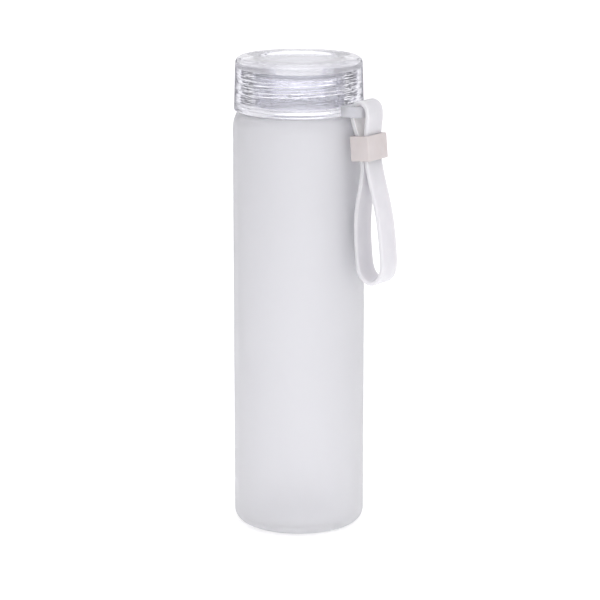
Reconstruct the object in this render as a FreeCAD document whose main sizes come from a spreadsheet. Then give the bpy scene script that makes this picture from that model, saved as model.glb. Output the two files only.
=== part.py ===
"""A frosted glass water bottle with a clear screw cap, a silicone carry strap and a strap keeper.

Millimetres, +Z up. The origin is the middle of the base on the surface that the bottle stands on.
The ear that holds the strap is on +X, so the strap hangs in the XZ plane with its width along Y.
Each profile of revolution is a sketch in the XZ plane: its first coordinate is the radius and
its second one the height. Every size comes from the Sizes sheet, and a Dim carries both its number
and the expression that binds it, so a sketch is drawn right and stays bound to the sheet.
"""

import FreeCAD, Part

import math
import os

import Sketcher

OUT = "parts"
EYE_STEPS = 8  # points along the strap's half turn over the bar, less one
RIM_POINTS = 144  # points that carry the strap's middle line to its two faces
SIDE_OUT = 0.78  # the loop's half width between pinch and belly, beside loop_radius
SIDE_DOWN = 0.48  # how far down from the pinch to the belly that is
HEEL_OUT = 0.7  # the loop's half width near its end, beside loop_radius
HEEL_RISE = 0.4  # how far above the end that is, beside loop_radius
THROAT_SHIFT = 0.2  # how much of the pinch's shift the throat has
SIDE_SHIFT = 0.3  # how much of the pinch's shift the loop's side has
NEAR = 0.01  # places closer than this are the same, in mm
LEAST_CUT = 1.0  # a cut that takes less than this has missed, in mm3

SIZES = {
    # glass body
    "body_radius": 31.5,
    "glass_wall": 2.6,
    "base_corner": 6.0,
    "base_thickness": 5.0,
    "inner_corner": 5.0,
    "foot_radius": 20.0,
    "foot_rise": 2.4,
    "floor_rise": 1.6,
    "shoulder_start": 194.0,
    "shoulder_round": 14.0,
    "shoulder_turn": 40.0,
    "shoulder_width": 10.7,
    # neck and thread
    "neck_fillet": 1.9,
    "neck_height": 14.4,
    "lip_round": 1.1,
    "thread_pitch": 5.0,
    "thread_depth": 0.95,
    "thread_root": 2.2,
    "thread_crest": 1.2,
    "thread_play": 0.3,
    "radial_play": 0.25,
    "neck_turns": 1.6,
    "neck_thread_drop": 9.8,
    "cap_turns": 2.0,
    # seal ring
    "seal_thickness": 1.8,
    "seal_width": 4.4,
    "seal_play": 0.1,
    "seal_side_play": 0.4,
    # cap
    "cap_step": 0.6,
    "cap_draft": 0.65,
    "foot_drop": 0.91,
    "cap_top": 6.0,
    "cap_top_round": 3.0,
    "cap_foot_round": 1.1,
    "dish_radius": 20.0,
    "dish_slope": 3.4,
    "dish_depth": 1.2,
    "shoulder_gap": 0.6,
    # ear on the cap
    "ear_height": 5.4,
    "ear_lift": 0.1,
    "ear_width": 17.0,
    "ear_corner": 3.0,
    "ear_root": 0.9,
    "ear_web": 1.5,
    "bar_thickness": 3.2,
    "bar_round": 0.8,
    "slot_corner": 1.0,
    "slot_side_play": 0.45,
    # strap
    "strap_width": 12.5,
    "strap_thickness": 2.0,
    "strap_lean": 4.9,
    "eye_play": 0.34,
    "eye_gap": 0.8,
    "strap_length": 82.0,
    "throat_half": 2.3,
    "throat_drop": 11.3,
    "pinch_drop": 24.0,
    "pinch_gap": 0.4,
    "pinch_shift": 0.8,
    "loop_radius": 6.9,
    "belly_rise": 12.0,
    # keeper
    "keeper_drop": 16.9,
    "keeper_height": 11.8,
    "keeper_wall": 1.6,
    "keeper_play": 0.45,
    "keeper_side_play": 0.25,
    "keeper_round": 1.0,
}

doc = FreeCAD.newDocument("water_bottle")
sheet = doc.addObject("Spreadsheet::Sheet", "Sizes")
for row, (alias, value) in enumerate(SIZES.items(), start=1):
    sheet.set(f"A{row}", alias)
    sheet.set(f"B{row}", str(value))
    sheet.setAlias(f"B{row}", alias)
doc.recompute()


class Dim:
    """A size in mm or degrees, with the sheet expression that it comes from."""

    def __init__(self, value, text):
        self.value = float(value)
        self.text = text

    def joined(self, other, sign, value):
        return Dim(value, f"({self.text} {sign} {other.text})")

    def __add__(self, other):
        other = as_dim(other)
        return self.joined(other, "+", self.value + other.value)

    def __sub__(self, other):
        other = as_dim(other)
        return self.joined(other, "-", self.value - other.value)

    def __mul__(self, other):
        other = as_dim(other)
        return self.joined(other, "*", self.value * other.value)

    def __truediv__(self, other):
        other = as_dim(other)
        return self.joined(other, "/", self.value / other.value)

    def __neg__(self):
        return Dim(-self.value, f"(-1 * {self.text})")


def as_dim(number):
    return number if isinstance(number, Dim) else Dim(number, str(number))


def size(alias):
    """The sheet's value under that name, as a Dim."""
    return Dim(sheet.get(alias), f"Sizes.{alias}")


def cos_of(angle):
    return Dim(math.cos(math.radians(angle.value)), f"cos({angle.text} * 1 deg)")


def sin_of(angle):
    return Dim(math.sin(math.radians(angle.value)), f"sin({angle.text} * 1 deg)")


def root_of(square):
    return Dim(math.sqrt(square.value), f"sqrt({square.text})")


# ------------------------------------------------------------------ sketches


def new_body(label):
    body = doc.addObject("PartDesign::Body", label)
    body.Label = label
    return body


def new_sketch(body, name, plane):
    """An empty sketch on one of the body's own origin planes."""
    sketch = body.newObject("Sketcher::SketchObject", name)
    own_planes = {feature.Role: feature for feature in body.Origin.OriginFeatures}
    sketch.AttachmentSupport = [(own_planes[plane], "")]
    sketch.MapMode = "FlatFace"
    return sketch


def line(to):
    return {"to": to}


def arc(to, centre, radius, turn):
    """An arc to a point. turn is +1 counter-clockwise, -1 clockwise."""
    return {"to": to, "centre": centre, "radius": radius, "turn": turn}


def vector(point):
    return FreeCAD.Vector(as_dim(point[0]).value, as_dim(point[1]).value, 0)


def angle_at(centre, point):
    away = vector(point) - vector(centre)
    return math.atan2(away.y, away.x)


def curve_of(here, step):
    """The sketch geometry of a step, and which of its ends (1 or 2) it starts and stops at."""
    if "centre" not in step:
        return Part.LineSegment(vector(here), vector(step["to"])), 1, 2
    circle = Part.Circle(vector(step["centre"]), FreeCAD.Vector(0, 0, 1), step["radius"].value)
    start = angle_at(step["centre"], here)
    stop = angle_at(step["centre"], step["to"])
    if step["turn"] > 0:
        return Part.ArcOfCircle(circle, start, stop), 1, 2
    return Part.ArcOfCircle(circle, stop, start), 2, 1


def bind(sketch, kind, where, dim, name):
    """Adds a constraint of that kind with the Dim's value and ties it to the sheet."""
    index = sketch.addConstraint(Sketcher.Constraint(kind, *where, dim.value))
    sketch.renameConstraint(index, name)
    sketch.setExpression(f"Constraints.{name}", dim.text)


def pin_point(sketch, geometry, end, point, name):
    """Holds a vertex at its two coordinates, measured from the sketch's origin."""
    for kind, axis, along in (("DistanceX", -2, point[0]), ("DistanceY", -1, point[1])):
        along = as_dim(along)
        if along.value == 0:
            sketch.addConstraint(Sketcher.Constraint("PointOnObject", geometry, end, axis))
        else:
            bind(sketch, kind, (-1, 1, geometry, end), along, f"{name}_{kind[-1]}")


def draw(sketch, steps, name="p"):
    """A closed outline. Each step runs from the step before it to its own point."""
    here = steps[-1]["to"]
    ends = []
    for number, step in enumerate(steps):
        curve, first, last = curve_of(here, step)
        geometry = sketch.addGeometry(curve, False)
        pin_point(sketch, geometry, last, step["to"], f"{name}{number}")
        if "radius" in step:
            bind(sketch, "Radius", (geometry,), step["radius"], f"{name}{number}_R")
        ends.append((geometry, first, last))
        here = step["to"]
    for before, after in zip(ends[-1:] + ends[:-1], ends):
        sketch.addConstraint(Sketcher.Constraint("Coincident", before[0], before[2], after[0], after[1]))


def revolved(body, name, steps):
    sketch = new_sketch(body, f"{name}_profile", "XZ_Plane")
    draw(sketch, steps)
    turned = body.newObject("PartDesign::Revolution", name)
    turned.Profile = sketch
    turned.ReferenceAxis = (sketch, ["V_Axis"])
    turned.Angle = 360
    doc.recompute()
    return turned


def helix_ridge(body, name, foot, crest, height, turns):
    """A thread ridge with sloping flanks. It starts centred on height and climbs to the right."""
    half_root = size("thread_root") / 2
    half_crest = size("thread_crest") / 2
    corners = [
        (foot, height - half_root),
        (crest, height - half_crest),
        (crest, height + half_crest),
        (foot, height + half_root),
    ]
    sketch = new_sketch(body, f"{name}_profile", "XZ_Plane")
    draw(sketch, [line(corner) for corner in corners])
    ridge = body.newObject("PartDesign::AdditiveHelix", name)
    ridge.Profile = sketch
    ridge.ReferenceAxis = (sketch, ["V_Axis"])
    ridge.Mode = "pitch-turns-angle"
    ridge.setExpression("Pitch", "Sizes.thread_pitch")
    ridge.setExpression("Turns", turns.text)
    doc.recompute()
    return ridge


# ------------------------------------------------------- sizes that pieces share

body_radius = size("body_radius")
wall = size("glass_wall")
neck_radius = body_radius - size("shoulder_width")
neck_fillet = size("neck_fillet")
start = size("shoulder_start")
turn = size("shoulder_turn")

# The shoulder is two tangent arcs: a wide one from the wall, then a tighter one to the crown,
# which takes up the width that is left before the fillet at the foot of the neck.
round_radius = size("shoulder_round")
round_width = round_radius - round_radius * cos_of(turn)
crown_radius = (size("shoulder_width") - round_width - neck_fillet) / cos_of(turn)
round_centre = (body_radius - round_radius, start)
crown_centre = (neck_radius + neck_fillet, start + (round_radius - crown_radius) * sin_of(turn))
crown_height = crown_centre[1] + crown_radius
fillet_centre = (crown_centre[0], crown_height + neck_fillet)
mouth = crown_height + size("neck_height")


def shoulder_point(offset):
    """Where the shoulder's two arcs meet, moved outwards by offset."""
    away = round_radius + offset
    return (round_centre[0] + away * cos_of(turn), round_centre[1] + away * sin_of(turn))


cap_bore = neck_radius + size("thread_depth") + size("radial_play")
cavity_top = mouth + size("seal_thickness") + size("seal_play") * 2
cap_radius = body_radius - size("cap_step")
cap_height = cavity_top + size("cap_top")
# The cap ends just below the place where the shoulder's arcs meet, whatever their sizes are.
cap_foot = shoulder_point(size("shoulder_gap"))[1] - size("foot_drop")
neck_thread = mouth - size("neck_thread_drop")
# The cap's ridge sits under the neck's, one flank's play away.
ridge_step = (size("thread_root") + size("thread_crest")) / 2 + size("thread_play")
cap_thread = neck_thread - ridge_step

# The strap's eye turns round the ear's bar, clear of its corners and of the slot's near wall.
half_bar = size("bar_thickness") / 2
corner_x = half_bar - size("bar_round")
corner_z = size("ear_height") / 2 - size("bar_round")
eye_inside = root_of(corner_x * corner_x + corner_z * corner_z) + size("bar_round") + size("eye_play")
eye_radius = eye_inside + size("strap_thickness") / 2
slot_near = cap_radius + size("ear_web")
pivot = (
    slot_near + size("eye_gap") + size("strap_thickness") + eye_inside,
    cap_foot + size("ear_lift") + size("ear_height") / 2,
)


# ------------------------------------------------------------------ glass bottle


def dome_centre(radius, rise, base):
    """Centre and radius of the shallow arc that rises by rise over radius, and starts at base."""
    dome_radius = (radius * radius + rise * rise) / (rise * 2)
    return (as_dim(0), base + rise - dome_radius), dome_radius


def make_bottle():
    body = new_body("glass_bottle")
    corner = size("base_corner")
    lip = size("lip_round")
    bore = neck_radius - wall
    inside = body_radius - wall
    inner_corner = size("inner_corner")
    floor = size("base_thickness")
    floor_radius = inside - inner_corner
    under_centre, under_radius = dome_centre(size("foot_radius"), size("foot_rise"), as_dim(0))
    floor_centre, dome_radius = dome_centre(floor_radius, size("floor_rise"), floor)
    steps = [
        arc((size("foot_radius"), as_dim(0)), under_centre, under_radius, -1),
        line((body_radius - corner, as_dim(0))),
        arc((body_radius, corner), (body_radius - corner, corner), corner, 1),
        line((body_radius, start)),
        arc(shoulder_point(as_dim(0)), round_centre, round_radius, 1),
        arc((crown_centre[0], crown_height), crown_centre, crown_radius, 1),
        arc((neck_radius, fillet_centre[1]), fillet_centre, neck_fillet, -1),
        line((neck_radius, mouth - lip)),
        arc((neck_radius - lip, mouth), (neck_radius - lip, mouth - lip), lip, 1),
        line((bore + lip, mouth)),
        arc((bore, mouth - lip), (bore + lip, mouth - lip), lip, 1),
        line((bore, fillet_centre[1])),
        arc((crown_centre[0], crown_height - wall), fillet_centre, neck_fillet + wall, 1),
        arc(shoulder_point(-wall), crown_centre, crown_radius - wall, -1),
        arc((inside, start), round_centre, round_radius - wall, -1),
        line((inside, floor + inner_corner)),
        arc((floor_radius, floor), (floor_radius, floor + inner_corner), inner_corner, -1),
        arc((as_dim(0), floor + size("floor_rise")), floor_centre, dome_radius, 1),
        line((as_dim(0), size("foot_rise"))),
    ]
    revolved(body, "bottle_wall", steps)
    sunk = neck_radius - size("radial_play")
    crest = neck_radius + size("thread_depth")
    helix_ridge(body, "neck_thread", sunk, crest, neck_thread, size("neck_turns"))
    return body


# --------------------------------------------------------------------- seal ring


def make_seal():
    body = new_body("seal_ring")
    outer = cap_bore - size("seal_side_play")
    inner = outer - size("seal_width")
    bottom = mouth + size("seal_play")
    top = bottom + size("seal_thickness")
    corners = [(inner, bottom), (outer, bottom), (outer, top), (inner, top)]
    revolved(body, "seal", [line(corner) for corner in corners])
    return body


# --------------------------------------------------------------------------- cap


def cap_outline():
    """The cap's half section, from the middle of its dish round to the inside of its top."""
    top_radius = cap_radius - size("cap_draft")
    top_round = size("cap_top_round")
    foot_round = size("cap_foot_round")
    gap = size("shoulder_gap")
    dish_floor = cap_height - size("dish_depth")
    relief = round_radius + gap
    height = cap_foot - start
    relief_radius = round_centre[0] + root_of(relief * relief - height * height)
    rim_centre = (top_radius - top_round, cap_height - top_round)
    foot_centre = (cap_radius - foot_round, cap_foot + foot_round)
    return [
        line((size("dish_radius") - size("dish_slope"), dish_floor)),
        line((size("dish_radius"), cap_height)),
        line((rim_centre[0], cap_height)),
        arc((top_radius, rim_centre[1]), rim_centre, top_round, -1),
        line((cap_radius, foot_centre[1])),
        arc((foot_centre[0], cap_foot), foot_centre, foot_round, -1),
        line((relief_radius, cap_foot)),
        arc(shoulder_point(gap), round_centre, relief, 1),
        arc((crown_centre[0], crown_height + gap), crown_centre, crown_radius + gap, 1),
        line((cap_bore, crown_height + gap)),
        line((cap_bore, cavity_top)),
        line((as_dim(0), cavity_top)),
        line((as_dim(0), dish_floor)),
    ]


def ear_outline():
    """The ear seen from above: rounded outside, and following the cap's wall inside."""
    half = size("ear_width") / 2
    corner = size("ear_corner")
    reach = pivot[0] + half_bar
    root = cap_radius - size("ear_root")
    root_x = root_of(root * root - half * half)
    return [
        line((reach - corner, -half)),
        arc((reach, corner - half), (reach - corner, corner - half), corner, 1),
        line((reach, half - corner)),
        arc((reach - corner, half), (reach - corner, half - corner), corner, 1),
        line((root_x, half)),
        arc((root_x, -half), (as_dim(0), as_dim(0)), root, -1),
    ]


def slot_outline():
    """The slot through the ear that one run of the strap passes through."""
    half = size("strap_width") / 2 + size("slot_side_play")
    corner = size("slot_corner")
    near = slot_near
    far = pivot[0] - half_bar
    return [
        line((far - corner, -half)),
        arc((far, corner - half), (far - corner, corner - half), corner, 1),
        line((far, half - corner)),
        arc((far - corner, half), (far - corner, half - corner), corner, 1),
        line((near + corner, half)),
        arc((near, half - corner), (near + corner, half - corner), corner, 1),
        line((near, corner - half)),
        arc((near + corner, -half), (near + corner, corner - half), corner, 1),
    ]


def bar_edges(shape):
    """The names of the bar's long edges, which run along Y beside the slot and outside."""
    found = []
    for number, edge in enumerate(shape.Edges, start=1):
        box = edge.BoundBox
        straight = box.XLength < NEAR and box.ZLength < NEAR and box.YLength > half_bar.value * 2
        if straight and abs(abs(box.Center.x - pivot[0].value) - half_bar.value) < NEAR:
            found.append(f"Edge{number}")
    return found


def make_cap():
    body = new_body("screw_cap")
    revolved(body, "cap_wall", cap_outline())
    sunk = cap_bore + size("radial_play")
    crest = cap_bore - size("thread_depth")
    helix_ridge(body, "cap_thread", sunk, crest, cap_thread, size("cap_turns"))

    ear_floor = cap_foot + size("ear_lift")
    ear_sketch = new_sketch(body, "ear_shape", "XY_Plane")
    ear_sketch.setExpression("AttachmentOffset.Base.z", ear_floor.text)
    draw(ear_sketch, ear_outline())
    ear = body.newObject("PartDesign::Pad", "ear")
    ear.Profile = ear_sketch
    ear.setExpression("Length", "Sizes.ear_height")
    doc.recompute()

    slot_sketch = new_sketch(body, "slot_shape", "XY_Plane")
    slot_sketch.setExpression("AttachmentOffset.Base.z", ear_floor.text)
    draw(slot_sketch, slot_outline())
    before = body.Shape.Volume
    slot = body.newObject("PartDesign::Pocket", "strap_slot")
    slot.Profile = slot_sketch
    slot.Reversed = True
    slot.setExpression("Length", "Sizes.ear_height")
    doc.recompute()
    if body.Shape.Volume > before - LEAST_CUT:
        raise RuntimeError("the strap slot cuts nothing")

    bar = body.newObject("PartDesign::Fillet", "bar_edges")
    bar.Base = (slot, bar_edges(slot.Shape))
    bar.setExpression("Radius", "Sizes.bar_round")
    doc.recompute()
    return body


# ------------------------------------------------------------------------- strap


def strap_centreline():
    """The band's middle line as (outward, down) from the pivot along the strap's own axis."""
    eye = eye_radius.value
    pinch = size("pinch_drop").value
    half_pinch = (size("strap_thickness").value + size("pinch_gap").value) / 2
    shift = size("pinch_shift").value
    loop = size("loop_radius").value
    end = size("strap_length").value - size("strap_thickness").value / 2
    belly = end - size("belly_rise").value
    over_bar = []
    for step in range(EYE_STEPS + 1):
        angle = math.pi * step / EYE_STEPS
        over_bar.append((-eye * math.cos(angle), -eye * math.sin(angle)))
    # Down one side: how far out, how far down, and how much the pinch moves it.
    side = [
        (size("throat_half").value, size("throat_drop").value, shift * THROAT_SHIFT),
        (half_pinch, pinch, shift),
        (loop * SIDE_OUT, pinch + (belly - pinch) * SIDE_DOWN, shift * SIDE_SHIFT),
        (loop, belly, 0),
        (loop * HEEL_OUT, end - loop * HEEL_RISE, 0),
    ]
    outer = [(move + out, down) for out, down, move in side]
    inner = [(move - out, down) for out, down, move in side]
    return over_bar + outer + [(0, end)] + inner[::-1]


def closed_curve(points):
    curve = Part.BSplineCurve()
    curve.interpolate(Points=points, PeriodicFlag=True)
    return curve


def beside(curve, distance):
    """A closed curve at that distance outside (+) or inside (-) another one."""
    first = curve.FirstParameter
    last = curve.LastParameter
    points = []
    for step in range(RIM_POINTS):
        at = first + (last - first) * step / RIM_POINTS
        along = curve.tangent(at)[0]
        outward = FreeCAD.Vector(-along.z, 0, along.x)
        points.append(curve.value(at) - outward * distance)
    return closed_curve(points)


def make_strap():
    width = size("strap_width").value
    half = size("strap_thickness").value / 2
    middle = closed_curve([FreeCAD.Vector(out, -width / 2, -down) for out, down in strap_centreline()])
    rims = [beside(middle, half), beside(middle, -half)]
    faces = [Part.Face(Part.Wire([rim.toShape()])) for rim in rims]
    faces.sort(key=lambda face: face.Area)
    solids = [face.extrude(FreeCAD.Vector(0, width, 0)) for face in faces]
    band = solids[1].cut(solids[0])
    strap = doc.addObject("Part::Feature", "carry_strap")
    strap.Label = "carry_strap"
    strap.Shape = band.Solids[0]
    hang(strap, as_dim(0))
    return strap


def hang(piece, drop):
    """Leans a piece out with the strap, with its own origin that far down the strap's axis."""
    lean = size("strap_lean")
    leaned = FreeCAD.Rotation(FreeCAD.Vector(0, -1, 0), lean.value)
    piece.Placement = FreeCAD.Placement(FreeCAD.Vector(), leaned)
    piece.setExpression("Placement.Base.x", (pivot[0] + drop * sin_of(lean)).text)
    piece.setExpression("Placement.Base.z", (pivot[1] - drop * cos_of(lean)).text)
    doc.recompute()


# ------------------------------------------------------------------------ keeper


def rectangle(half_x, half_y):
    corners = [(-half_x, -half_y), (half_x, -half_y), (half_x, half_y), (-half_x, half_y)]
    return [line(corner) for corner in corners]


def keeper_edges(shape, half_width):
    """The names of the sleeve's outer edges: the upright corners, and the long rims."""
    found = []
    for number, edge in enumerate(shape.Edges, start=1):
        box = edge.BoundBox
        if box.YMin < -half_width + NEAR or box.YMax > half_width - NEAR:
            found.append(f"Edge{number}")
    return found


def make_keeper():
    body = new_body("strap_keeper")
    opening = size("throat_half") + size("strap_thickness") / 2 + size("keeper_play")
    slot_half = size("strap_width") / 2 + size("keeper_side_play")
    wall_size = size("keeper_wall")
    height = size("keeper_height")

    sleeve_sketch = new_sketch(body, "sleeve_shape", "XY_Plane")
    sleeve_sketch.setExpression("AttachmentOffset.Base.z", (-height / 2).text)
    draw(sleeve_sketch, rectangle(opening + wall_size, slot_half + wall_size))
    sleeve = body.newObject("PartDesign::Pad", "sleeve")
    sleeve.Profile = sleeve_sketch
    sleeve.setExpression("Length", "Sizes.keeper_height")
    doc.recompute()

    edges = keeper_edges(sleeve.Shape, (slot_half + wall_size).value)
    softened = body.newObject("PartDesign::Fillet", "sleeve_edges")
    softened.Base = (sleeve, edges)
    softened.setExpression("Radius", "Sizes.keeper_round")
    doc.recompute()

    opening_sketch = new_sketch(body, "opening_shape", "XY_Plane")
    opening_sketch.setExpression("AttachmentOffset.Base.z", (-height / 2).text)
    draw(opening_sketch, rectangle(opening, slot_half))
    before = body.Shape.Volume
    through = body.newObject("PartDesign::Pocket", "opening")
    through.Profile = opening_sketch
    through.Reversed = True
    through.setExpression("Length", "Sizes.keeper_height")
    doc.recompute()
    if body.Shape.Volume > before - LEAST_CUT:
        raise RuntimeError("the keeper's opening cuts nothing")
    hang(body, size("keeper_drop"))
    return body


# ------------------------------------------------------------------ build and write


def checked(pieces):
    """Stops the script if any object failed or any piece isn't one valid solid."""
    doc.recompute()
    for item in doc.Objects:
        if {"Invalid", "Error"} & set(item.State):
            raise RuntimeError(f"{item.Name} failed: {item.State}")
    for piece in pieces:
        shape = piece.Shape
        if shape.isNull() or not shape.isValid() or len(shape.Solids) != 1:
            raise RuntimeError(f"{piece.Label} isn't one valid solid")


pieces = [make_bottle(), make_seal(), make_cap(), make_strap(), make_keeper()]
checked(pieces)
os.makedirs(OUT, exist_ok=True)
for piece in pieces:
    piece.Shape.exportStep(os.path.join(OUT, f"{piece.Label}.step"))
    box = piece.Shape.BoundBox
    print(f"{piece.Label:14s} {piece.Shape.Volume:10.1f} mm3, z {box.ZMin:7.2f} to {box.ZMax:7.2f}")
print(f"pivot {pivot[0].value:.2f} {pivot[1].value:.2f}")
print(f"cap foot {cap_foot.value:.2f}, height {cap_height.value:.2f}")
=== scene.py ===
# %% [markdown]
# # A frosted glass water bottle
# The bottle is a straight glass tube with a soft shoulder, acid frosted on the outside. A thick
# clear cap screws onto its neck, over a silicone seal ring. A flat white silicone band hangs from
# an ear on the cap, and an ivory sleeve holds the band's two runs together. Everything here is in
# metres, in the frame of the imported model, so each mesh is made where it belongs.

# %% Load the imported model
import math

import bmesh
import bpy
import numpy as np
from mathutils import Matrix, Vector


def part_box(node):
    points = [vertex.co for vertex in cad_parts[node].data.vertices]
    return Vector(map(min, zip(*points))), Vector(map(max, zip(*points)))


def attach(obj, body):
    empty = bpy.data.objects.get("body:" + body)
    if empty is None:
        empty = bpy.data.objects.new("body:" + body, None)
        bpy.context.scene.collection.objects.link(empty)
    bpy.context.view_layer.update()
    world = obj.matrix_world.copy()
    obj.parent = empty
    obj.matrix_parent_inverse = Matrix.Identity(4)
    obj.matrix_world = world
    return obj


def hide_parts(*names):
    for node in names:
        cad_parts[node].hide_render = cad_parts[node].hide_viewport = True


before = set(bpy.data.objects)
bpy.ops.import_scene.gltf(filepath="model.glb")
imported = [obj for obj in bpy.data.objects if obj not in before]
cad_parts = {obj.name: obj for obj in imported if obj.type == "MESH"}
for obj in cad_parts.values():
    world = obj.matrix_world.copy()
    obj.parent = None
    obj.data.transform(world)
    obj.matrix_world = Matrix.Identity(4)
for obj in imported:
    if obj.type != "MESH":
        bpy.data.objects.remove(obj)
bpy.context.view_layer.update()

MM = 0.001
NEAR = 0.01 * MM

# %% [markdown]
# ## Sizes
# The outside sizes are read from the model, so the looks follow the design if it changes. The
# walls, fillets and thread can't be read from a box, so they are named here, in metres.

# %% Sizes of the glass and its thread
glass_low, glass_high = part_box("glass_bottle")
BODY_RADIUS = (glass_high[1] - glass_low[1]) / 2
MOUTH = glass_high[2]
GLASS_WALL = 2.6 * MM
BASE_CORNER = 6.0 * MM
BASE_THICKNESS = 5.0 * MM
INNER_CORNER = 5.0 * MM
FOOT_RADIUS = 20.0 * MM
FOOT_RISE = 2.4 * MM
FLOOR_RISE = 1.6 * MM
SHOULDER_WIDTH = 10.7 * MM
NECK_RADIUS = BODY_RADIUS - SHOULDER_WIDTH
NECK_FILLET = 1.9 * MM
LIP_ROUND = 1.1 * MM
THREAD_PITCH = 5.0 * MM
THREAD_DEPTH = 0.95 * MM
NECK_THREAD_DROP = 9.8 * MM
NECK_THREAD_START = MOUTH - NECK_THREAD_DROP
NECK_THREAD_TURNS = 1.6
print(f"body {BODY_RADIUS * 2000:.1f} mm wide, mouth at {MOUTH * 1000:.1f} mm")

# %% Sizes of the shoulder's two arcs
SHOULDER_START = 194.0 * MM
SHOULDER_ROUND = 14.0 * MM
SHOULDER_TURN_DEG = 40
shoulder_turn = math.radians(SHOULDER_TURN_DEG)
round_width = SHOULDER_ROUND * (1 - math.cos(shoulder_turn))
crown_width = BODY_RADIUS - NECK_RADIUS - round_width - NECK_FILLET
CROWN_ROUND = crown_width / math.cos(shoulder_turn)
ROUND_X = BODY_RADIUS - SHOULDER_ROUND
CROWN_X = NECK_RADIUS + NECK_FILLET
CROWN_Z = SHOULDER_START + (SHOULDER_ROUND - CROWN_ROUND) * math.sin(shoulder_turn)
CROWN = CROWN_Z + CROWN_ROUND
print(f"shoulder crown at {CROWN * 1000:.1f} mm, round {CROWN_ROUND * 1000:.2f} mm")

# %% Sizes of the cap
cap_low, cap_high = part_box("screw_cap")
CAP_FOOT = cap_low[2]
CAP_TOP = cap_high[2]
CAP_RADIUS = -cap_low[0]
CAP_DRAFT = 0.65 * MM
CAP_TOP_ROUND = 3.0 * MM
CAP_FOOT_ROUND = 1.1 * MM
CAP_ROOF = 6.0 * MM
CAP_CEILING = CAP_TOP - CAP_ROOF
RADIAL_PLAY = 0.25 * MM
CAP_BORE = NECK_RADIUS + THREAD_DEPTH + RADIAL_PLAY
RIDGE_STEP = 2.0 * MM
CAP_THREAD_START = NECK_THREAD_START - RIDGE_STEP
CAP_THREAD_TURNS = 2.0
SHOULDER_GAP = 0.6 * MM
DISH_RADIUS = 20.0 * MM
DISH_SLOPE = 3.4 * MM
DISH_DEPTH = 1.2 * MM
print(f"cap {CAP_RADIUS * 2000:.1f} mm wide and {(CAP_TOP - CAP_FOOT) * 1000:.1f} mm high")

# %% [markdown]
# ## The camera
# The camera comes first, so that every piece can be judged from the place where it is seen. It
# stands a little above the cap and looks slightly down, so that the dish shows. A short lens up
# close would make the body taper. A long lens from further off keeps its sides nearly parallel.

# %% The camera
VIEW_AZIMUTH = math.radians(35)
CAMERA_DISTANCE = 1.17
CAMERA_HEIGHT = 0.381
LOOK_AT = Vector((0.0004, 0.0003, 0.1097))
LENS_MM = 149.2
SENSOR_MM = 36

camera_data = bpy.data.cameras.new("camera")
camera_data.lens = LENS_MM
camera_data.sensor_width = SENSOR_MM
camera = bpy.data.objects.new("camera", camera_data)
bpy.context.collection.objects.link(camera)
camera.location = (
    CAMERA_DISTANCE * math.sin(VIEW_AZIMUTH),
    -CAMERA_DISTANCE * math.cos(VIEW_AZIMUTH),
    CAMERA_HEIGHT,
)
camera.rotation_euler = (LOOK_AT - camera.location).to_track_quat("-Z", "Y").to_euler()
bpy.context.scene.camera = camera
print("camera at", [round(c, 3) for c in camera.location])

# %% [markdown]
# ## The studio
# Glass shows nothing but what is round it, so the studio is part of how it looks. A pale sweep with
# no horizon would do, lit from above. Frosted glass also gathers light from below, so the floor is
# a light table instead: it glows a little and fills the body's lower half. The surround is even
# and bright, and each lamp is a wide, plain rectangle, because its reflection will be seen.

# %% Helpers for the studio
STUDIO_ROUGHNESS = 0.9


def placed(name, build):
    """Turns a finished bmesh into an object in the scene."""
    mesh = bpy.data.meshes.new(name)
    build.to_mesh(mesh)
    build.free()
    piece = bpy.data.objects.new(name, mesh)
    bpy.context.collection.objects.link(piece)
    return piece


def plain_material(name, colour):
    """A matt material for studio gear, with its shader and its nodes."""
    material = bpy.data.materials.new(name)
    material.use_nodes = True
    shader = material.node_tree.nodes["Principled BSDF"]
    shader.inputs["Base Color"].default_value = (*colour, 1)
    shader.inputs["Roughness"].default_value = STUDIO_ROUGHNESS
    return material, shader, material.node_tree


print("helpers", placed.__name__, plain_material.__name__)

# %% The light table
TABLE_RADIUS = 4.0
TABLE_POINTS = 96
TABLE_DROP = 0.2 * MM
TABLE_TONE = (0.9, 0.9, 0.9)
TABLE_GLOW = 0.36

table_build = bmesh.new()
bmesh.ops.create_circle(table_build, cap_ends=True, segments=TABLE_POINTS, radius=TABLE_RADIUS)
table = placed("floor", table_build)
pale_table, table_shader, _ = plain_material("pale_table", TABLE_TONE)
table_shader.inputs["Emission Color"].default_value = (1, 1, 1, 1)
table_shader.inputs["Emission Strength"].default_value = TABLE_GLOW
table.data.materials.append(pale_table)
table.location.z = -TABLE_DROP
print("table", TABLE_RADIUS * 2, "m across")

# %% The surround
SURROUND_COLOUR = (0.985, 0.98, 1.0)
SURROUND_STRENGTH = 0.87
LIGHT_BOUNCES = 32

world = bpy.data.worlds.new("studio")
world.use_nodes = True
surround = world.node_tree.nodes["Background"]
surround.inputs["Color"].default_value = (*SURROUND_COLOUR, 1)
surround.inputs["Strength"].default_value = SURROUND_STRENGTH
scene = bpy.context.scene
scene.world = world
scene.view_settings.view_transform = "Standard"
scene.cycles.max_bounces = LIGHT_BOUNCES
scene.cycles.transmission_bounces = LIGHT_BOUNCES
scene.cycles.glossy_bounces = LIGHT_BOUNCES
print("surround", SURROUND_STRENGTH, "and", LIGHT_BOUNCES, "bounces, for light inside the cap")

# %% The lamps
LAMP_TARGET = Vector((0, 0, 0.12))
LAMPS = {
    # name: place, width, height, watts
    "front_lamp": ((0.9, -1.3, 0.75), 1.0, 1.0, 2.4),
    "side_lamp": ((1.4, 0.05, 0.35), 0.4, 0.6, 0.9),
    "top_lamp": ((0.1, 0.2, 1.6), 1.2, 1.2, 3),
}

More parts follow.
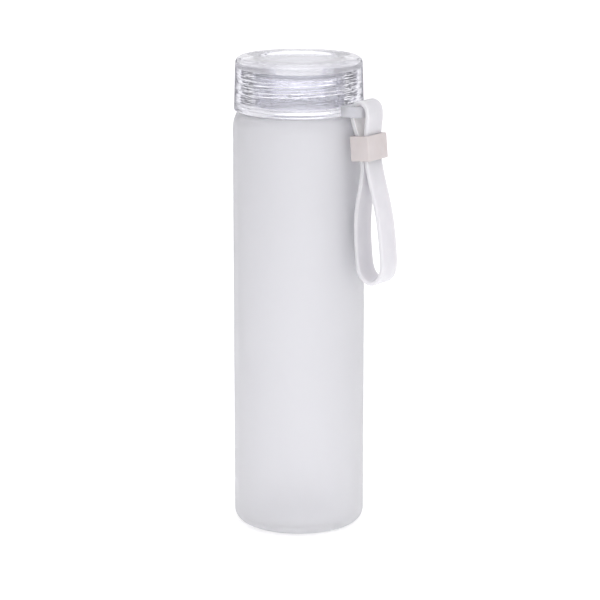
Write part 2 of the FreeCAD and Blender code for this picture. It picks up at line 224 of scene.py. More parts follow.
for name, (place, width, height, watts) in LAMPS.items():
    lamp_data = bpy.data.lights.new(name, "AREA")
    lamp_data.shape = "RECTANGLE"
    lamp_data.size = width
    lamp_data.size_y = height
    lamp_data.energy = watts
    lamp = bpy.data.objects.new(name, lamp_data)
    lamp.location = place
    lamp.rotation_euler = (LAMP_TARGET - Vector(place)).to_track_quat("-Z", "Y").to_euler()
    bpy.context.collection.objects.link(lamp)
print("lamps", len(bpy.data.lights))

# %% [markdown]
# Clear plastic on a white ground has no outline of its own. A dark edge could be painted on, but it
# would be wrong from any other side. Two dark cards, one on each side behind the bottle, do what
# they do in a real studio: the cap's thick wall bends them into the dark bands at its sides. The
# lens doesn't see the cards, and they shade nothing but glass and gloss.

# %% The dark cards
CARD_DISTANCE = 0.6
CARD_FOOT = 0.01
CARD_HEAD = 0.3
# Degrees away from straight behind the bottle, and how light the card is there.
CARD_SHADES = ((13, 0.8), (20, 0.22), (45, 0.09), (60, 0.2), (80, 0.8))
CARD_STEPS = 24
CARD_TINT = (1, 0.98, 1.08)
CARD_GREY = (0.5, 0.5, 0.5)


def dark_card(name, side, material):
    """A curved card standing on the floor, darkest in its middle."""
    view = Vector((-math.sin(VIEW_AZIMUTH), math.cos(VIEW_AZIMUTH), 0))
    angles, shades = zip(*CARD_SHADES)
    build = bmesh.new()
    tone = build.verts.layers.float_color.new("shade")
    uprights = []
    for angle in np.linspace(angles[0], angles[-1], CARD_STEPS):
        grey = float(np.interp(angle, angles, shades))
        cos, sin = math.cos(math.radians(angle)), math.sin(math.radians(angle)) * side
        x = CARD_DISTANCE * (view.x * cos - view.y * sin)
        y = CARD_DISTANCE * (view.x * sin + view.y * cos)
        uprights.append([build.verts.new((x, y, z)) for z in (CARD_FOOT, CARD_HEAD)])
        for vertex in uprights[-1]:
            vertex[tone] = (*(min(grey * tint, 1) for tint in CARD_TINT), 1)
    for near, far in zip(uprights, uprights[1:]):
        build.faces.new((near[0], far[0], far[1], near[1]))
    card = placed(name, build)
    card.data.materials.append(material)
    card.visible_camera = False
    card.visible_diffuse = False
    card.visible_shadow = False


studio_card, card_shader, card_nodes = plain_material("studio_card", CARD_GREY)
card_shade = card_nodes.nodes.new("ShaderNodeAttribute")
card_shade.attribute_name = "shade"
card_nodes.links.new(card_shade.outputs["Color"], card_shader.inputs["Base Color"])
for name, side in (("left_card", 1), ("right_card", -1)):
    dark_card(name, side, studio_card)
print("cards", CARD_HEAD, "m high,", CARD_DISTANCE, "m away")

# %% [markdown]
# ## Turned pieces
# The glass, the cap and the seal ring are all turned shapes: half an outline swept round the axis.
# A screw modifier could sweep a curve, but it can't raise a thread on the way. So a small lathe
# makes them from rows of points, and a row may swell or sink as it goes round. The thread then
# grows out of the wall itself, with no second mesh to join.

# %% Outline helpers


def arc_rows(centre_x, centre_z, radius, start_deg, stop_deg, count):
    """Points along an arc of the half outline, as (radius, height)."""
    rows = []
    for step in range(count + 1):
        angle = math.radians(start_deg + (stop_deg - start_deg) * step / count)
        rows.append((centre_x + radius * math.cos(angle), centre_z + radius * math.sin(angle)))
    return rows


def line_rows(start, stop, count):
    """Points along a straight line, without its two ends."""
    rows = []
    for step in range(1, count):
        share = step / count
        rows.append(tuple(a + (b - a) * share for a, b in zip(start, stop)))
    return rows


def dome_rows(radius, height, rise, count):
    """A shallow dome from its middle out to its rim. height is the rim's."""
    shares = [step / count for step in range(count + 1)]
    return [(radius * share, height + rise * (1 - share * share)) for share in shares]


def smooth_step(share):
    """0 below 0, 1 above 1, and an even S between."""
    share = min(max(share, 0), 1)
    return share * share * (3 - 2 * share)


print("a quarter arc in 4 steps has", len(arc_rows(0, 0, 1, 0, 90, 4)), "points")

# %% The lathe
TURN_STEPS = 240


def skinned(name, build):
    """Puts a closed mesh in the scene, with its faces turned outwards."""
    bmesh.ops.recalc_face_normals(build, faces=build.faces)
    return placed(name, build)


def turned(name, rows, swell=None):
    """A closed turned mesh. rows go once round the half outline, starting and ending on the axis
    or, for a ring, closing on themselves. swell(radius, height, angle) moves a point outwards."""
    build = bmesh.new()
    rings = []
    for radius, height in rows:
        if radius < NEAR:
            rings.append([build.verts.new((0, 0, height))])
            continue
        ring = []
        for step in range(TURN_STEPS):
            angle = 2 * math.pi * step / TURN_STEPS
            out = radius + (swell(radius, height, angle) if swell else 0)
            ring.append(build.verts.new((out * math.cos(angle), out * math.sin(angle), height)))
        rings.append(ring)
    pairs = list(zip(rings, rings[1:]))
    if len(rings[0]) > 1:
        pairs.append((rings[-1], rings[0]))
    for lower, upper in pairs:
        for step in range(TURN_STEPS):
            after = (step + 1) % TURN_STEPS
            if len(lower) == 1:
                corners = (lower[0], upper[after], upper[step])
            elif len(upper) == 1:
                corners = (lower[step], lower[after], upper[0])
            else:
                corners = (lower[step], lower[after], upper[after], upper[step])
            build.faces.new(corners).smooth = True
    return skinned(name, build)


print("the lathe takes", TURN_STEPS, "steps a turn")

# %% The thread
CREST_HALF = 0.6 * MM
ROOT_HALF = 1.1 * MM
RUN_OUT_TURNS = 0.07


def ridge(height, angle, start, turns):
    """How far a right-handed thread stands out of the wall at a point, from 0 to 1."""
    best = 0
    for lap in range(math.ceil(turns) + 1):
        along = angle / (2 * math.pi) + lap
        if not 0 <= along <= turns:
            continue
        away = abs(height - start - THREAD_PITCH * along)
        flank = min(max((ROOT_HALF - away) / (ROOT_HALF - CREST_HALF), 0), 1)
        ends = smooth_step(min(along, turns - along) / RUN_OUT_TURNS)
        best = max(best, flank * ends)
    return best


print("thread ridge", ROOT_HALF * 2000, "mm wide at its root")

# %% [markdown]
# ## The glass
# The bottle is blown into a mould: an even wall, a thick floor with a shallow rise under it, a flat
# ring that it stands on, and a soft two-arc shoulder up to the neck. A plain cylinder with a solidify
# modifier would give one even wall, so the inside and outside are drawn as one outline instead.
# The last number of each stretch is its steps. The neck has the most, because its thread needs them.

# %% The bottle's outline
LIP_FADE = 0.5 * MM


def shoulder_rows(offset):
    """The shoulder's two arcs from the wall to the crown, moved outwards by offset."""
    rows = arc_rows(ROUND_X, SHOULDER_START, SHOULDER_ROUND + offset, 0, SHOULDER_TURN_DEG, 12)
    return rows + arc_rows(CROWN_X, CROWN_Z, CROWN_ROUND + offset, SHOULDER_TURN_DEG, 90, 12)[1:]


def outside_rows():
    """The frosted part, from the middle of the foot up to the crown of the shoulder."""
    rows = dome_rows(FOOT_RADIUS, 0, FOOT_RISE, 12)
    rows += arc_rows(BODY_RADIUS - BASE_CORNER, BASE_CORNER, BASE_CORNER, -90, 0, 14)
    rows += line_rows((BODY_RADIUS, BASE_CORNER), (BODY_RADIUS, SHOULDER_START), 28)
    return rows + shoulder_rows(0)


def inside_rows():
    """The clear part: up the neck, over the lip and down the inside to the middle of the floor."""
    inside = BODY_RADIUS - GLASS_WALL
    bore = NECK_RADIUS - GLASS_WALL
    fillet_z = CROWN + NECK_FILLET
    lip_z = MOUTH - LIP_ROUND
    corner_x, corner_z = inside - INNER_CORNER, BASE_THICKNESS + INNER_CORNER
    rows = arc_rows(CROWN_X, fillet_z, NECK_FILLET, -90, -180, 8)[1:]
    rows += line_rows((NECK_RADIUS, fillet_z), (NECK_RADIUS, lip_z), 84)
    rows += arc_rows(NECK_RADIUS - LIP_ROUND, lip_z, LIP_ROUND, 0, 90, 6)
    rows += arc_rows(bore + LIP_ROUND, lip_z, LIP_ROUND, 90, 180, 6)
    rows += line_rows((bore, lip_z), (bore, fillet_z), 6)
    rows += arc_rows(CROWN_X, fillet_z, NECK_FILLET + GLASS_WALL, 180, 270, 8)
    rows += shoulder_rows(-GLASS_WALL)[::-1][1:]
    rows += line_rows((inside, SHOULDER_START), (inside, corner_z), 20)
    rows += arc_rows(corner_x, corner_z, INNER_CORNER, 0, -90, 10)
    return rows + dome_rows(corner_x, BASE_THICKNESS, FLOOR_RISE, 10)[::-1][1:]


def neck_swell(radius, height, angle):
    """Raises the thread on the neck, and fades it out below the lip."""
    if abs(radius - NECK_RADIUS) > NEAR or height < CROWN:
        return 0
    below_lip = smooth_step((MOUTH - LIP_ROUND - height) / LIP_FADE)
    return THREAD_DEPTH * below_lip * ridge(height, angle, NECK_THREAD_START, NECK_THREAD_TURNS)


bottle = turned("frosted_bottle", outside_rows() + inside_rows(), neck_swell)
print("bottle", len(bottle.data.polygons), "faces")

# %% [markdown]
# ## The cap
# The cap is one heavy clear moulding. Its wall is about 9 mm thick, so it bends the light strongly:
# the thread inside shows as thin, nearly level lines, and the wall has a darker band on each side
# where light is thrown back inside it. A thin shell with a tinted finish would look hollow, so the
# whole thickness is modelled. The top has a soft rim and a shallow dish.

# %% The cap's outline
DISH_STEPS = 12


def cap_top_rows():
    """From the middle of the dish out to where the top's round begins."""
    dish_floor = CAP_TOP - DISH_DEPTH
    rows = [(0, dish_floor)]
    rows += line_rows((0, dish_floor), (DISH_RADIUS - DISH_SLOPE, dish_floor), 8)
    for step in range(DISH_STEPS + 1):
        share = step / DISH_STEPS
        height = dish_floor + DISH_DEPTH * smooth_step(share)
        rows.append((DISH_RADIUS - DISH_SLOPE * (1 - share), height))
    round_start = CAP_RADIUS - CAP_DRAFT - CAP_TOP_ROUND
    return rows + line_rows((DISH_RADIUS, CAP_TOP), (round_start, CAP_TOP), 4)


def cap_wall_rows():
    """Down the outside, and under the foot, which follows the bottle's shoulder."""
    top_radius = CAP_RADIUS - CAP_DRAFT
    top_z, foot_z = CAP_TOP - CAP_TOP_ROUND, CAP_FOOT + CAP_FOOT_ROUND
    under_round = SHOULDER_ROUND + SHOULDER_GAP
    foot_rise = math.degrees(math.asin((CAP_FOOT - SHOULDER_START) / under_round))
    rows = arc_rows(top_radius - CAP_TOP_ROUND, top_z, CAP_TOP_ROUND, 90, 0, 14)
    rows += line_rows((top_radius, top_z), (CAP_RADIUS, foot_z), 18)
    rows += arc_rows(CAP_RADIUS - CAP_FOOT_ROUND, foot_z, CAP_FOOT_ROUND, 0, -90, 8)
    rows += arc_rows(ROUND_X, SHOULDER_START, under_round, foot_rise, SHOULDER_TURN_DEG, 6)
    crown_round = CROWN_ROUND + SHOULDER_GAP
    return rows + arc_rows(CROWN_X, CROWN_Z, crown_round, SHOULDER_TURN_DEG, 90, 10)[1:]


def cap_bore_rows():
    """Up the bore, close enough together for its thread, and in along the ceiling."""
    bore_foot, bore_head = (CAP_BORE, CROWN + SHOULDER_GAP), (CAP_BORE, CAP_CEILING)
    middle = (0, CAP_CEILING)
    rows = [bore_foot] + line_rows(bore_foot, bore_head, 120)
    return rows + [bore_head] + line_rows(bore_head, middle, 10) + [middle]


def cap_swell(radius, height, angle):
    """Raises the thread inside the bore."""
    if abs(radius - CAP_BORE) > NEAR:
        return 0
    return -THREAD_DEPTH * ridge(height, angle, CAP_THREAD_START, CAP_THREAD_TURNS)


cap = turned("clear_cap", cap_top_rows() + cap_wall_rows() + cap_bore_rows(), cap_swell)
print("cap", len(cap.data.polygons), "faces")

# %% [markdown]
# The ear is a flat tab on the cap's skirt with a slot through it, and the strap's sleeve is a box
# without a top or bottom. A cube with a hole cut through it and a bevel would leave long thin faces.
# Both are a ring of wall between two outlines, so one helper lays the outlines round a
# cross-section with rounded edges, which gives an even mesh of quads.

# %% The helper for a wall between two outlines
EDGE_STEPS = 4


def rounded_rectangle(low, high, corner, steps=8):
    """Points round a rectangle from its low to its high corner, with round corners."""
    points = []
    for turn, (right, top) in enumerate(((1, 1), (0, 1), (0, 0), (1, 0))):
        centre_x = high[0] - corner if right else low[0] + corner
        centre_y = high[1] - corner if top else low[1] + corner
        for step in range(steps + 1):
            angle = math.radians(90 * (turn + step / steps))
            x, y = corner * math.cos(angle), corner * math.sin(angle)
            points.append((centre_x + x, centre_y + y))
    return points


def join_rings(build, rings):
    """Quads from each ring of points to the next, and from the last back to the first."""
    for ring, following in zip(rings, rings[1:] + rings[:1]):
        for step in range(len(ring)):
            after = (step + 1) % len(ring)
            corners = (ring[step], ring[after], following[after], following[step])
            build.faces.new(corners).smooth = True


def walled_ring(name, outer, inner, low, high, edge):
    """A wall between outer(inset) and inner(inset), from low to high, with rounded edges."""
    loops = []
    quarter = [math.radians(90 * step / EDGE_STEPS) for step in range(EDGE_STEPS + 1)]
    for outline, start, stop, up in ((outer, low, high, 1), (inner, high, low, -1)):
        for angle in quarter:
            height = start + up * edge * (1 - math.cos(angle))
            loops.append((outline(edge * (1 - math.sin(angle))), height))
        for angle in quarter:
            height = stop - up * edge * (1 - math.sin(angle))
            loops.append((outline(edge * (1 - math.cos(angle))), height))
    build = bmesh.new()
    rings = [[build.verts.new((x, y, z)) for x, y in outline] for outline, z in loops]
    join_rings(build, rings)
    return skinned(name, build)


print("each edge is rounded in", EDGE_STEPS, "steps")

# %% The ear
EAR_LIFT = 0.1 * MM
EAR_HEIGHT = 5.4 * MM
EAR_HALF = 8.5 * MM
EAR_CORNER = 3.0 * MM
EAR_EDGE = 0.8 * MM
EAR_REACH = cap_high[0]
EAR_SINK = 0.9 * MM
EAR_ROOT = CAP_RADIUS - EAR_SINK
BAR_THICKNESS = 3.2 * MM
SLOT_HALF = 6.7 * MM
EAR_WEB = 1.5 * MM
SLOT_NEAR = CAP_RADIUS + EAR_WEB
SLOT_CORNER = 1.0 * MM
PIVOT = Vector((EAR_REACH - BAR_THICKNESS / 2, 0, CAP_FOOT + EAR_LIFT + EAR_HEIGHT / 2))


def ear_outline(inset):
    """The tab's outline. Its root follows the cap, inside the cap's wall."""
    half = EAR_HALF - inset
    points = rounded_rectangle((0, -half), (EAR_REACH - inset, half), EAR_CORNER - inset)
    tip = [point for point in points if point[0] > EAR_ROOT]
    side = math.asin(half / EAR_ROOT)
    count = len(points) - len(tip)
    root = []
    for step in range(count):
        angle = side * (1 - 2 * step / (count - 1))
        root.append((EAR_ROOT * math.cos(angle), EAR_ROOT * math.sin(angle)))
    return tip[: len(tip) // 2] + root + tip[len(tip) // 2 :]


def slot_outline(inset):
    low = (SLOT_NEAR - inset, -SLOT_HALF - inset)
    high = (EAR_REACH - BAR_THICKNESS + inset, SLOT_HALF + inset)
    return rounded_rectangle(low, high, SLOT_CORNER + inset)


ear_low, ear_top = PIVOT.z - EAR_HEIGHT / 2, PIVOT.z + EAR_HEIGHT / 2
ear = walled_ring("ear", ear_outline, slot_outline, ear_low, ear_top, EAR_EDGE)
print("ear", len(ear.data.polygons), "faces")

# %% [markdown]
# Clear plastic shows every face inside it, so the ear can't just overlap the cap, as it could on an
# opaque piece. A boolean joins the two into one skin. It is applied at once, and edges that turn
# sharply are marked, so that the smooth shading doesn't smear round them.

# %% Join the ear to the cap
SHARP_ANGLE = math.radians(32)

join = cap.modifiers.new("join_ear", "BOOLEAN")
join.operation = "UNION"
join.solver = "EXACT"
join.object = ear
bpy.context.view_layer.update()
evaluated_cap = cap.evaluated_get(bpy.context.evaluated_depsgraph_get())
joined_mesh = bpy.data.meshes.new_from_object(evaluated_cap)
cap.modifiers.clear()
cap.data = joined_mesh
bpy.data.objects.remove(ear)
for polygon in cap.data.polygons:
    polygon.use_smooth = True
cap.data.set_sharp_from_angle(angle=SHARP_ANGLE)
print("cap with ear", len(cap.data.polygons), "faces")

# %% [markdown]
# ## The seal ring
# A thin ring of soft silicone sits in the top of the cap and closes on the bottle's lip. A torus
# would be too round: this ring is cut flat, so its outline is a small rectangle with soft corners,
# on the same lathe.

# %% The seal ring
seal_low, seal_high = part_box("seal_ring")
SEAL_OUTER = seal_high[0]
SEAL_WIDTH = 4.4 * MM
SEAL_INNER = SEAL_OUTER - SEAL_WIDTH
SEAL_EDGE = 0.45 * MM

seal_out, seal_in = SEAL_OUTER - SEAL_EDGE, SEAL_INNER + SEAL_EDGE
seal_foot, seal_head = seal_low[2] + SEAL_EDGE, seal_high[2] - SEAL_EDGE
seal_outline = arc_rows(seal_out, seal_foot, SEAL_EDGE, -90, 0, 4)
seal_outline += arc_rows(seal_out, seal_head, SEAL_EDGE, 0, 90, 4)
seal_outline += arc_rows(seal_in, seal_head, SEAL_EDGE, 90, 180, 4)
seal_outline += arc_rows(seal_in, seal_foot, SEAL_EDGE, 180, 270, 4)
seal = turned("seal", seal_outline)
print("seal ring", round(SEAL_OUTER * 2000, 1), "mm wide")

# %% [markdown]
# ## The strap
# The strap is one closed band of silicone, 12.5 mm wide and 2 mm thick. It goes over the ear's bar,
# both runs pass through the sleeve, and the rest hangs as a long loop. A Bezier curve with a bevel
# could make it, but its handles are hard to set by number. So a smooth closed curve is put through
# named points of the band's middle, and a rounded cross-section is carried along it.

# %% The points on the strap's path
STRAP_WIDTH = 12.5 * MM
STRAP_THICKNESS = 2.0 * MM
EYE_RADIUS = 4.2016 * MM
EYE_STEPS = 8
STRAP_END = 81.0 * MM
# Half the loop's width, how far down, and the middle's shift outwards, in mm, from eye to end.
SIDE_POINTS_MM = (
    (2.3, 11.3, 0.16),
    (1.2, 24.0, 0.8),
    (5.38, 45.6, 0.24),
    (6.9, 69.0, 0.0),
    (4.83, 78.24, 0.0),
)


def strap_points():
    """The band's middle, as (out, down) from the pivot, once round."""
    points = []
    for step in range(EYE_STEPS + 1):
        angle = math.pi * step / EYE_STEPS
        points.append((-EYE_RADIUS * math.cos(angle), -EYE_RADIUS * math.sin(angle)))
    for out, down, shift in SIDE_POINTS_MM:
        points.append(((shift + out) * MM, down * MM))
    points.append((0, STRAP_END))
    for out, down, shift in reversed(SIDE_POINTS_MM):
        points.append(((shift - out) * MM, down * MM))
    return np.array(points)


print("strap path", len(strap_points()), "points")

# %% A smooth closed curve through points


def closed_spline(points, count):
    """Places and directions along the closed cubic spline through the points."""
    following = np.roll(points, -1, axis=0)
    gap = np.linalg.norm(following - points, axis=1)
    before = np.roll(gap, 1)
    size = len(points)
    system = np.zeros((size, size))
    target = np.zeros((size, 2))
    slope = (following - points) / gap[:, None]
    for k in range(size):
        system[k, k - 1] = before[k]
        system[k, k] = 2 * (before[k] + gap[k])
        system[k, (k + 1) % size] = gap[k]
        target[k] = 6 * (slope[k] - slope[k - 1])
    bend = np.linalg.solve(system, target)
    starts = np.concatenate([[0], np.cumsum(gap)])
    places, directions = [], []
    for along in np.linspace(0, starts[-1], count, endpoint=False):
        k = min(int(np.searchsorted(starts, along, side="right")) - 1, size - 1)
        after = (k + 1) % size
        left, right = along - starts[k], starts[k + 1] - along
        places.append(
            (bend[k] * right**3 + bend[after] * left**3) / (6 * gap[k])
            + (points[k] / gap[k] - bend[k] * gap[k] / 6) * right
            + (points[after] / gap[k] - bend[after] * gap[k] / 6) * left
        )
        direction = (
            (bend[after] * left**2 - bend[k] * right**2) / (2 * gap[k])
            + slope[k]
            - (bend[after] - bend[k]) * gap[k] / 6
        )
        directions.append(direction / np.linalg.norm(direction))
    return np.array(places), np.array(directions)


PATH_STEPS = 280
places, directions = closed_spline(strap_points(), PATH_STEPS)
path_length = np.linalg.norm(np.roll(places, -1, axis=0) - places, axis=1).sum()
print(f"strap path {path_length * 1000:.0f} mm long")

# %% The strap's own frame
STRAP_LEAN = math.radians(4.9)
LEAN_COS, LEAN_SIN = math.cos(STRAP_LEAN), math.sin(STRAP_LEAN)


def hung(out, y, down):
    """A point of the strap's own frame, in the model's."""
    return (PIVOT.x + out * LEAN_COS + down * LEAN_SIN, y, PIVOT.z + out * LEAN_SIN - down * LEAN_COS)


def out_and_down(step):
    """A step in the model's frame, in the strap's own, without its part along y."""
    return Vector((step.x * LEAN_COS + step.z * LEAN_SIN, step.x * LEAN_SIN - step.z * LEAN_COS))


print("the strap's end hangs at", [round(c, 4) for c in hung(0, 0, STRAP_END)])

# %% The strap's band
STRAP_EDGE = 0.45 * MM


def strap_band():
    """Carries the band's cross-section along its path."""
    half_t, half_w = STRAP_THICKNESS / 2, STRAP_WIDTH / 2
    section = rounded_rectangle((-half_t, -half_w), (half_t, half_w), STRAP_EDGE, 3)
    build = bmesh.new()
    rings = []
    for (out, down), (run_out, run_down) in zip(places, directions):
        corners = [hung(out - run_down * away, y, down + run_out * away) for away, y in section]
        rings.append([build.verts.new(corner) for corner in corners])
    join_rings(build, rings)
    return skinned("strap_band", build)


strap = strap_band()
print("strap", len(strap.data.polygons), "faces")

# %% [markdown]
# ## The sleeve
# A short moulded sleeve grips both runs of the strap. It slides down the strap to close the hanging
# loop round a finger. The helper that made the ear makes it upright, and its points are then hung
# in the strap's own frame, so that it leans as the strap does.

# %% The sleeve
SLEEVE_DROP = 16.9 * MM
SLEEVE_HEIGHT = 11.8 * MM
SLEEVE_WALL = 1.6 * MM
SLEEVE_HALF_DEPTH = 5.35 * MM
SLEEVE_HALF_WIDTH = 8.1 * MM
SLEEVE_CORNER = 1.0 * MM
SLEEVE_INNER_CORNER = 0.5 * MM
SLEEVE_EDGE = 0.45 * MM


def sleeve_outer(inset):
    half_depth, half_width = SLEEVE_HALF_DEPTH - inset, SLEEVE_HALF_WIDTH - inset
    corner = SLEEVE_CORNER - inset
    return rounded_rectangle((-half_depth, -half_width), (half_depth, half_width), corner)


def sleeve_opening(inset):
    half_depth = SLEEVE_HALF_DEPTH - SLEEVE_WALL + inset
    half_width = SLEEVE_HALF_WIDTH - SLEEVE_WALL + inset
    corner = SLEEVE_INNER_CORNER + inset
    return rounded_rectangle((-half_depth, -half_width), (half_depth, half_width), corner)


half_height = SLEEVE_HEIGHT / 2
sleeve = walled_ring(
    "strap_sleeve", sleeve_outer, sleeve_opening, -half_height, half_height, SLEEVE_EDGE
)
for vertex in sleeve.data.vertices:
    out, y, up = vertex.co
    vertex.co = hung(out, y, SLEEVE_DROP - up)
sleeve.data.set_sharp_from_angle(angle=SHARP_ANGLE)
print("sleeve", len(sleeve.data.polygons), "faces")

# %% [markdown]
# ## Finishes
# A finish is one shader, whose plain numbers are set on its own sockets. Its colour, its roughness
# and its small relief each vary a little with a noise, as any made thing does. A scanned texture
# would need unwrapping and would show its repeats. A noise needs neither, and it sticks to the piece.

# %% Helpers for a finish
NOISE_LOW, NOISE_HIGH = 0.3, 0.7


def grain(nodes, scale, detail, stretch=None):
    """A noise over the piece's own place, in features per metre."""
    noise = nodes.nodes.new("ShaderNodeTexNoise")
    noise.inputs["Scale"].default_value = scale
    noise.inputs["Detail"].default_value = detail
    source = nodes.nodes.new("ShaderNodeTexCoord").outputs["Object"]
    if stretch:
        mapping = nodes.nodes.new("ShaderNodeMapping")
        mapping.inputs["Scale"].default_value = stretch
        nodes.links.new(source, mapping.inputs["Vector"])
        source = mapping.outputs["Vector"]
    nodes.links.new(source, noise.inputs["Vector"])
    return noise.outputs["Fac"]


def spread(nodes, source, low, high):
    """Spreads a noise over the range from low to high."""
    reach = nodes.nodes.new("ShaderNodeMapRange")
    reach.inputs["From Min"].default_value = NOISE_LOW
    reach.inputs["From Max"].default_value = NOISE_HIGH
    reach.inputs["To Min"].default_value = low
    reach.inputs["To Max"].default_value = high
    nodes.links.new(source, reach.inputs["Value"])
    return reach.outputs["Result"]


def tints(nodes, source, low, high):
    """A colour between low and high, by a noise."""
    ramp = nodes.nodes.new("ShaderNodeValToRGB")
    for stop, place, colour in zip(ramp.color_ramp.elements, (NOISE_LOW, NOISE_HIGH), (low, high)):
        stop.position = place
        stop.color = (*colour, 1)
    nodes.links.new(source, ramp.inputs["Fac"])
    return ramp.outputs["Color"]


def bumps(nodes, source, height):
    """A relief of that height in metres."""
    bump = nodes.nodes.new("ShaderNodeBump")
    bump.inputs["Strength"].default_value = 1
    bump.inputs["Distance"].default_value = height
    nodes.links.new(source, bump.inputs["Height"])
    return bump.outputs["Normal"]


print("helpers", grain.__name__, spread.__name__, tints.__name__, bumps.__name__)

# %% The helper for a whole finish


def finish(name, plain, roughness, relief, colours=None):
    """A new material. plain holds what goes straight onto the shader's sockets. roughness and
    colours are a noise's scale and detail and the two ends that it runs between, and relief is a
    noise's scale and detail, the relief's height and, where it has a grain, how it is stretched."""
    material = bpy.data.materials.new(name)
    material.use_nodes = True
    nodes = material.node_tree
    shader = nodes.nodes["Principled BSDF"]
    for socket, value in plain.items():
        shader.inputs[socket].default_value = value
    scale, detail, low, high = roughness
    rough = spread(nodes, grain(nodes, scale, detail), low, high)
    nodes.links.new(rough, shader.inputs["Roughness"])
    if colours:
        scale, detail, low, high = colours
        colour = tints(nodes, grain(nodes, scale, detail), low, high)
        nodes.links.new(colour, shader.inputs["Base Color"])
    scale, detail, height, *stretch = relief
    normal = bumps(nodes, grain(nodes, scale, detail, *stretch), height)
    nodes.links.new(normal, shader.inputs["Normal"])
    return material


print("helper", finish.__name__)

# %% [markdown]
# Etched glass lets light through but scatters it, so it has both: most of its light goes through
# a very rough surface, and the rest is the white of the etching itself. A little sheen gives the
# soft bright rim of a frosted wall. The neck and the inside stay clear, with the faint level ripple
# of glass drawn into a mould. The rows come in order, so a face's number tells which part it is in.

# %% Frosted glass and clear glass
GLASS_IOR = 1.5
FROSTED, CLEAR = 0, 1

bottle.data.materials.append(finish(
    "frosted_glass",
    {
        "IOR": GLASS_IOR,
        "Transmission Weight": 0.6,
        "Sheen Weight": 0.4,
        "Sheen Roughness": 0.35,
    },
    roughness=(45, 4, 0.62, 0.7),
    colours=(45, 4, (0.915, 0.913, 0.935), (0.935, 0.933, 0.955)),
    relief=(4200, 2, 0.01 * MM),
))
bottle.data.materials.append(finish(
    "clear_glass",
    {"IOR": GLASS_IOR, "Transmission Weight": 1, "Base Color": (0.94, 0.94, 0.96, 1)},
    roughness=(60, 2, 0.02, 0.05),
    relief=(60, 2, 0.12 * MM, (1, 1, 12)),
))
frosted_faces = (len(outside_rows()) - 1) * TURN_STEPS
for index, polygon in enumerate(bottle.data.polygons):
    polygon.material_index = FROSTED if index < frosted_faces else CLEAR
print("bottle finishes", [material.name for material in bottle.data.materials])

# %% [markdown]
# The cap is one plastic with four surfaces, as its mould left it: polished outside, turned with fine
# level marks in the bore, satin on the ceiling and cloudy on the ear. One finish for all would look
# like a lens. The faces are told apart by where their middles are.

# %% Clear plastic
PLASTIC_IOR = 1.49
PLASTIC_COLOUR = (0.935, 0.935, 0.98, 1)
POLISHED, TURNED, SATIN, CLOUDY = 0, 1, 2, 3
CAP_FINISHES = {
    # name: how clear, lowest and highest roughness, relief
    "clear_plastic": (1, 0.015, 0.04, (120, 2, 0.03 * MM)),
    "clear_plastic_bore": (1, 0.03, 0.07, (70, 2, 0.25 * MM, (1, 1, 16))),
    "clear_plastic_roof": (1, 0.2, 0.28, (300, 2, 0.02 * MM)),
    "clear_plastic_ear": (0.55, 0.3, 0.4, (300, 2, 0.02 * MM)),
}


def cap_surface(middle):
    """Which of the cap's four surfaces a face belongs to, by its middle."""
    out = math.hypot(middle.x, middle.y)
    if abs(middle.z - CAP_CEILING) < NEAR and out < CAP_BORE:
        return SATIN
    if out < CAP_BORE + 2 * NEAR and CROWN < middle.z < CAP_CEILING:
        return TURNED
    if out > CAP_RADIUS + 5 * NEAR:
        return CLOUDY
    return POLISHED


cap.data.materials.clear()
for name, (clearness, smoothest, roughest, relief) in CAP_FINISHES.items():
    plain = {
        "IOR": PLASTIC_IOR,
        "Transmission Weight": clearness,
        "Base Color": PLASTIC_COLOUR,
    }
    cap.data.materials.append(finish(name, plain, (80, 3, smoothest, roughest), relief))
for polygon in cap.data.polygons:
    polygon.material_index = cap_surface(polygon.center)
print("cap finishes", [material.name for material in cap.data.materials])

# %% [markdown]
# Silicone is cloudy all through. The thin seal ring lets most light through, so it is mostly
# transmission. The white strap holds more pigment: light goes in and spreads, which subsurface
# scattering gives, and a plain white paint wouldn't. Little light reaches the inside of the small
# loop above the sleeve, and one colour all over left it too dark. So the faces that look into that
# loop have a lighter and warmer colour: painted light, which stands in for the light that doesn't
# reach them.

# %% Seal silicone
SILICONE_IOR = 1.41

seal.data.materials.append(finish(
    "seal_silicone",
    {"IOR": SILICONE_IOR, "Transmission Weight": 0.75, "Base Color": (0.9, 0.9, 0.92, 1)},
    roughness=(300, 3, 0.3, 0.42),
    relief=(1500, 2, 0.01 * MM),
))
print("seal finish", seal.data.materials[0].name)

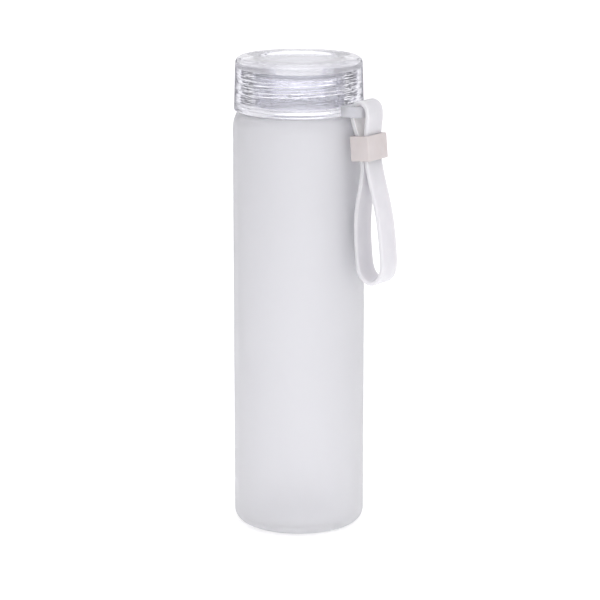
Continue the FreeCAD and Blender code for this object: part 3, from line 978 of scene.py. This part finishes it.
# %% Strap silicone
OUTSIDE, INSIDE_PAINTED_LIGHT = 0, 1
FACING = 0.5
# The second colour is painted light: a lighter, warmer copy of the silicone for the shaded faces
# inside the small loop.
STRAP_TINTS_AND_PAINTED_LIGHT = {
    "strap_silicone": ((0.635, 0.628, 0.655), (0.665, 0.658, 0.68)),
    "strap_silicone_painted_light": ((0.94, 0.9, 0.9), (0.96, 0.92, 0.92)),
}


def strap_plain_or_painted_light(polygon):
    """The painted, lighter colour for a face of the band that looks into the shaded small loop above
    the sleeve, and the plain one elsewhere.
    """
    place = out_and_down(polygon.center - PIVOT)
    inwards = Vector((-place.x, max(place.y, 0) - place.y)).normalized()
    looks_in = out_and_down(polygon.normal).dot(inwards) > FACING
    return INSIDE_PAINTED_LIGHT if place.y < SLEEVE_DROP and looks_in else OUTSIDE


for name, (dark, pale) in STRAP_TINTS_AND_PAINTED_LIGHT.items():
    strap.data.materials.append(finish(
        name,
        {
            "IOR": SILICONE_IOR,
            "Subsurface Weight": 1,
            "Subsurface Radius": (1.0, 0.95, 0.97),
            "Subsurface Scale": 6 * MM,
        },
        roughness=(420, 3, 0.4, 0.55),
        colours=(160, 3, dark, pale),
        relief=(3000, 3, 0.012 * MM),
    ))
# Faces that look into the shaded small loop get the painted, lighter colour.
for polygon in strap.data.polygons:
    polygon.material_index = strap_plain_or_painted_light(polygon)
print("strap finishes", [material.name for material in strap.data.materials])

# %% [markdown]
# The sleeve is moulded in a harder ivory plastic with a satin skin. It is nearly opaque, so only a
# little light spreads in it, enough to soften its corners.

# %% Ivory plastic
sleeve.data.materials.append(finish(
    "ivory_plastic",
    {
        "IOR": 1.48,
        "Subsurface Weight": 0.15,
        "Subsurface Radius": (1.0, 0.85, 0.7),
        "Subsurface Scale": 2 * MM,
    },
    roughness=(500, 3, 0.38, 0.5),
    colours=(140, 3, (0.6, 0.55, 0.545), (0.645, 0.595, 0.59)),
    relief=(2200, 3, 0.01 * MM),
))
print("sleeve finish", sleeve.data.materials[0].name)

# %% [markdown]
# ## Hand the pieces to the frame
# Each piece rides on the body that it belongs to, so that it moves with its joint. It stands for
# that body's plain solid, which is hidden.

# %% Ride and replace
for piece, body, node, slot in (
    (bottle, "bottle", "glass_bottle", "frosted_glass"),
    (seal, "seal", "seal_ring", "seal_silicone"),
    (cap, "cap", "screw_cap", "clear_plastic"),
    (strap, "strap", "carry_strap", "strap_silicone"),
    (sleeve, "keeper", "strap_keeper", "ivory_plastic"),
):
    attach(piece, body)
    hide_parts(node)
